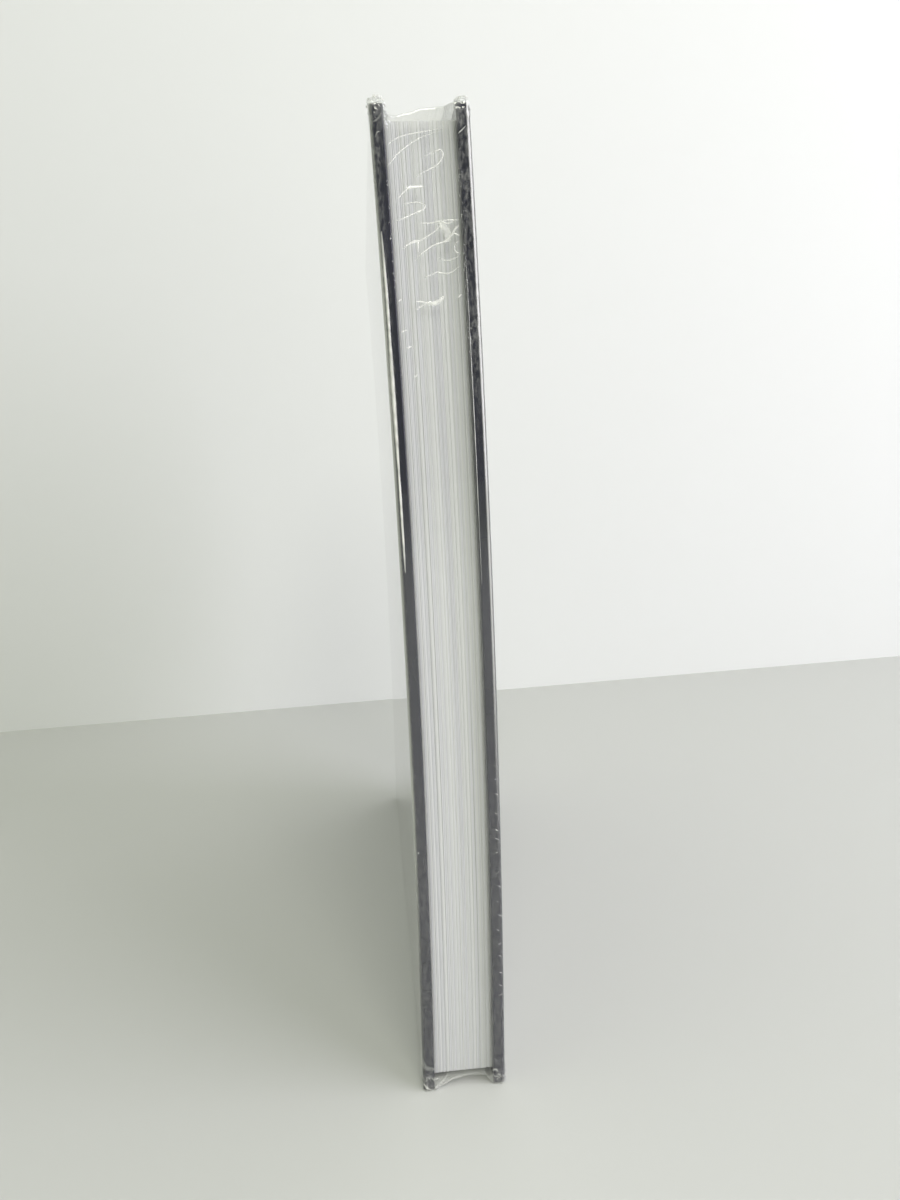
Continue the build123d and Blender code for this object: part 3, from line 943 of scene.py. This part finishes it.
def add_creases(form, layer):
    """All raised ridges of the film over the fore-edge: the drawn ones, then ticks and specks."""
    for width, milk_and_painted_light, points in CREASES.values():
        add_crease(form, layer, points, width, milk_and_painted_light, fore_dip)
    for width, milk_and_painted_light, points in EDGE_CREASES.values():
        add_crease(form, layer, points, width, milk_and_painted_light, board_dip)
    chance = random.Random(CREASE_SEED)
    for number in range(TICK_COUNT):
        step = number + chance.uniform(-TICK_STRAY, TICK_STRAY)
        height = TICK_LOW + (TICK_HIGH - TICK_LOW) * step / (TICK_COUNT - 1)
        left = TICK_ACROSS + chance.uniform(-TICK_STRAY, TICK_STRAY)
        length = chance.uniform(*TICK_LENGTHS)
        rise = chance.choice(TICK_LEANS) * length
        points = ((left, height), (left + length / 2, height + rise / 2), (left + length, height + rise))
        width = chance.uniform(*TICK_WIDTHS)
        milk_and_painted_light = chance.uniform(*TICK_PAINTED_GLINT)
        add_crease(form, layer, points, width, milk_and_painted_light, board_dip)
    for across, low, high, count in SPECK_ROWS:
        for _ in range(count):
            left = across + chance.uniform(-SPECK_STRAY, SPECK_STRAY)
            middle = Vector((left, chance.uniform(low, high)))
            sideways = chance.uniform(-SPECK_SIDEWAYS, SPECK_SIDEWAYS)
            half = Vector((sideways, chance.uniform(-SPECK_UPWARDS, SPECK_UPWARDS))) / 2
            width = chance.uniform(*SPECK_WIDTHS)
            milk_and_painted_light = chance.uniform(*SPECK_PAINTED_GLINT)
            add_crease(form, layer, (middle - half, middle, middle + half), width, milk_and_painted_light, board_dip)


# Loose tufts of film over the boards' corners: across, depth and height in mm, size, seed
TUFTS = (
    (-10.0, -102.0, 260.65, (2.30, 2.7, 1.95), 3),
    (10.2, -102.1, 260.50, (2.05, 2.6, 1.80), 8),
    (-10.1, 101.8, 260.50, (1.9, 2.6, 0.75), 21),
    (10.1, 101.8, 260.50, (1.9, 2.6, 0.75), 34),
)
TUFT_STEPS = 5

# How far a tuft reaches out by itself, on a fold and on a crease, as shares of its size
TUFT_REACH, FOLD_REACH, CREASE_REACH = 0.62, 0.34, 0.16
TUFT_FOLDS, TUFT_FOLD_SHARPNESS = 1.7, 3.2
TUFT_CREASES, TUFT_CREASE_SHARPNESS = 4.1, 3.5
# Whiteness of a tuft and of its crease crests: partly the film's whitening, partly painted glint
TUFT_MILK, TUFT_CREASE_MILK_AND_PAINTED_GLINT = 0.05, 0.80


def add_tuft(form, layer, across, depth_y, height, size, seed):
    """A crumpled nub of film standing on a board's end."""
    nub = bmesh.ops.create_icosphere(form, subdivisions=TUFT_STEPS, radius=1.0)["verts"]
    shift = Vector((seed, 2.0 * seed, 0.5 * seed))
    middle = Vector((across, depth_y, height)) * MM
    for vert in nub:
        way = vert.co.normalized()
        fold = fold_at(way * TUFT_FOLDS + shift, TUFT_FOLD_SHARPNESS)
        crease = fold_at(way * TUFT_CREASES + shift, TUFT_CREASE_SHARPNESS)
        reach = TUFT_REACH + FOLD_REACH * fold + CREASE_REACH * crease
        place = Vector((way.x * size[0], way.y * size[1], way.z * size[2])) * reach * MM + middle
        vert.co = place + Vector((bow_at(min(place.z, case_high.z)), 0, 0))
        vert[layer] = TUFT_MILK + TUFT_CREASE_MILK_AND_PAINTED_GLINT * crease * fold


def build_film():
    """The whole film: skin, creases and tufts."""
    form = bmesh.new()
    layer = form.verts.layers.float.new("milkiness_and_painted_light")
    patches = form.verts.layers.float.new("mottling_and_painted_reflection")
    build_skin(form, layer, patches)
    add_creases(form, layer)
    for across, depth_y, height, size, seed in TUFTS:
        add_tuft(form, layer, across, depth_y, height, size, seed)
    return form


# Stage: a pale floor and wall, with soft light from the right and above

FLOOR_HALF = 3.0
WALL_HALF = 2.0

# Two pixels of the photograph on the line where the wall meets the floor
WALL_FOOT_LEFT, WALL_FOOT_RIGHT = (10, 731.4), (810, 663.6)


def stage_finish(name, colour, one_sided):
    """Matt paint, seen from the front only where it is one-sided."""
    material, nodes, links, output = new_material(name)
    surface = add_node(nodes, "ShaderNodeBsdfPrincipled", Roughness=0.7)
    surface.inputs["Base Color"].default_value = (*colour, 1.0)
    if not one_sided:
        links.new(surface.outputs["BSDF"], output.inputs["Surface"])
        return material
    clear = nodes.new("ShaderNodeBsdfTransparent")
    side = nodes.new("ShaderNodeNewGeometry")
    mix = nodes.new("ShaderNodeMixShader")
    links.new(side.outputs["Backfacing"], mix.inputs["Fac"])
    links.new(surface.outputs["BSDF"], mix.inputs[1])
    links.new(clear.outputs["BSDF"], mix.inputs[2])
    links.new(mix.outputs["Shader"], output.inputs["Surface"])
    return material


def add_backdrop(name, half, placed, finish):
    """A square of the stage, placed by a matrix."""
    form = bmesh.new()
    bmesh.ops.create_grid(form, x_segments=1, y_segments=1, size=half, matrix=placed)
    mesh = bpy.data.meshes.new(name)
    form.to_mesh(mesh)
    form.free()
    mesh.materials.append(finish)
    backdrop = bpy.data.objects.new(name, mesh)
    bpy.context.scene.collection.objects.link(backdrop)
    return backdrop


def add_stage():
    """The floor, and the wall along the line where the photograph shows its foot."""
    paint = stage_finish("pale_floor", (0.58, 0.585, 0.57), one_sided=False)
    floor = add_backdrop("floor", FLOOR_HALF, Matrix.Identity(4), paint)
    left, right = seen_on_floor(WALL_FOOT_LEFT), seen_on_floor(WALL_FOOT_RIGHT)
    middle = (left + right) / 2 + Vector((0, 0, WALL_HALF))
    heading = math.atan2(right.y - left.y, right.x - left.x)
    turn = Matrix.Rotation(heading, 4, "Z") @ Matrix.Rotation(math.pi / 2, 4, "X")
    paint = stage_finish("pale_wall", (0.78, 0.79, 0.78), one_sided=True)
    wall = add_backdrop("wall", WALL_HALF, Matrix.Translation(middle) @ turn, paint)


def add_lamp(name, place, target, size, watts, colour):
    """A soft rectangular lamp that faces its target."""
    data = bpy.data.lights.new(name, "AREA")
    data.shape = "RECTANGLE"
    data.size, data.size_y = size
    data.energy = watts
    data.color = colour
    lamp = bpy.data.objects.new(name, data)
    lamp.location = place
    lamp.rotation_euler = (Vector(target) - Vector(place)).to_track_quat("-Z", "Y").to_euler()
    bpy.context.scene.collection.objects.link(lamp)


# Strength of the room's light in front of the book and behind it
ROOM_DARK, ROOM_LIGHT = 0.24, 0.86
BOOK_MIDDLE = (0.0, 0.0, 0.13)


def add_light():
    """A cool window on the right, a warm lamp high in front and a room that is dimmer in front."""
    world = bpy.data.worlds.new("room")
    world.use_nodes = True
    nodes, links = world.node_tree.nodes, world.node_tree.links
    sky = nodes["Background"]
    sky.inputs["Color"].default_value = (0.94, 1.0, 0.85, 1.0)
    way = nodes.new("ShaderNodeTexCoord")
    parts = nodes.new("ShaderNodeSeparateXYZ")
    depth = nodes.new("ShaderNodeMapRange")
    depth.inputs["From Min"].default_value = -0.95
    depth.inputs["From Max"].default_value = 0.1
    depth.inputs["To Min"].default_value = ROOM_DARK
    depth.inputs["To Max"].default_value = ROOM_LIGHT
    links.new(way.outputs["Generated"], parts.inputs["Vector"])
    links.new(parts.outputs["Y"], depth.inputs["Value"])
    links.new(depth.outputs["Result"], sky.inputs["Strength"])
    bpy.context.scene.world = world
    add_lamp(
        "window", place=(1.02, -0.60, 0.60), target=BOOK_MIDDLE, size=(1.0, 1.1),
        watts=12.4, colour=(0.91, 0.87, 1.0),
    )
    add_lamp(
        "ceiling", place=(0.08, -1.05, 1.18), target=BOOK_MIDDLE, size=(0.62, 0.62),
        watts=8.3, colour=(1.0, 1.0, 0.89),
    )


# The scene

bpy.context.scene.view_settings.view_transform = "Standard"
add_camera()
add_stage()
add_light()

laminate = laminate_finish()
trimmed_paper = paper_edge_finish()
endpaper = fibre_finish("endpaper", (0.70, 0.70, 0.70), (0.80, 0.80, 0.80), 900.0, 0.8, 0.00004)
greyboard = fibre_finish("greyboard", (0.30, 0.28, 0.25), (0.50, 0.47, 0.42), 700.0, 0.92, 0.00012)
lining = fibre_finish("crepe_lining", (0.55, 0.51, 0.44), (0.74, 0.70, 0.62), 500.0, 0.9, 0.00015)
band_weave = band_finish()
clear_film = film_finish()

for node in ("front_board", "back_board", "spine_board"):
    dress(node, greyboard)
for node in ("front_endpaper", "back_endpaper"):
    dress(node, endpaper)
dress("spine_lining", lining)
for node in ("head_band", "tail_band"):
    dress(node, band_weave)

add_piece("pages", build_pages(), trimmed_paper, "pages", "page_block")
add_piece("covers", build_covers(), laminate, "cover_paper", "cover_wrap", flat_from=5 * MM * MM)
add_piece("film", build_film(), clear_film, "film", "shrink_film")
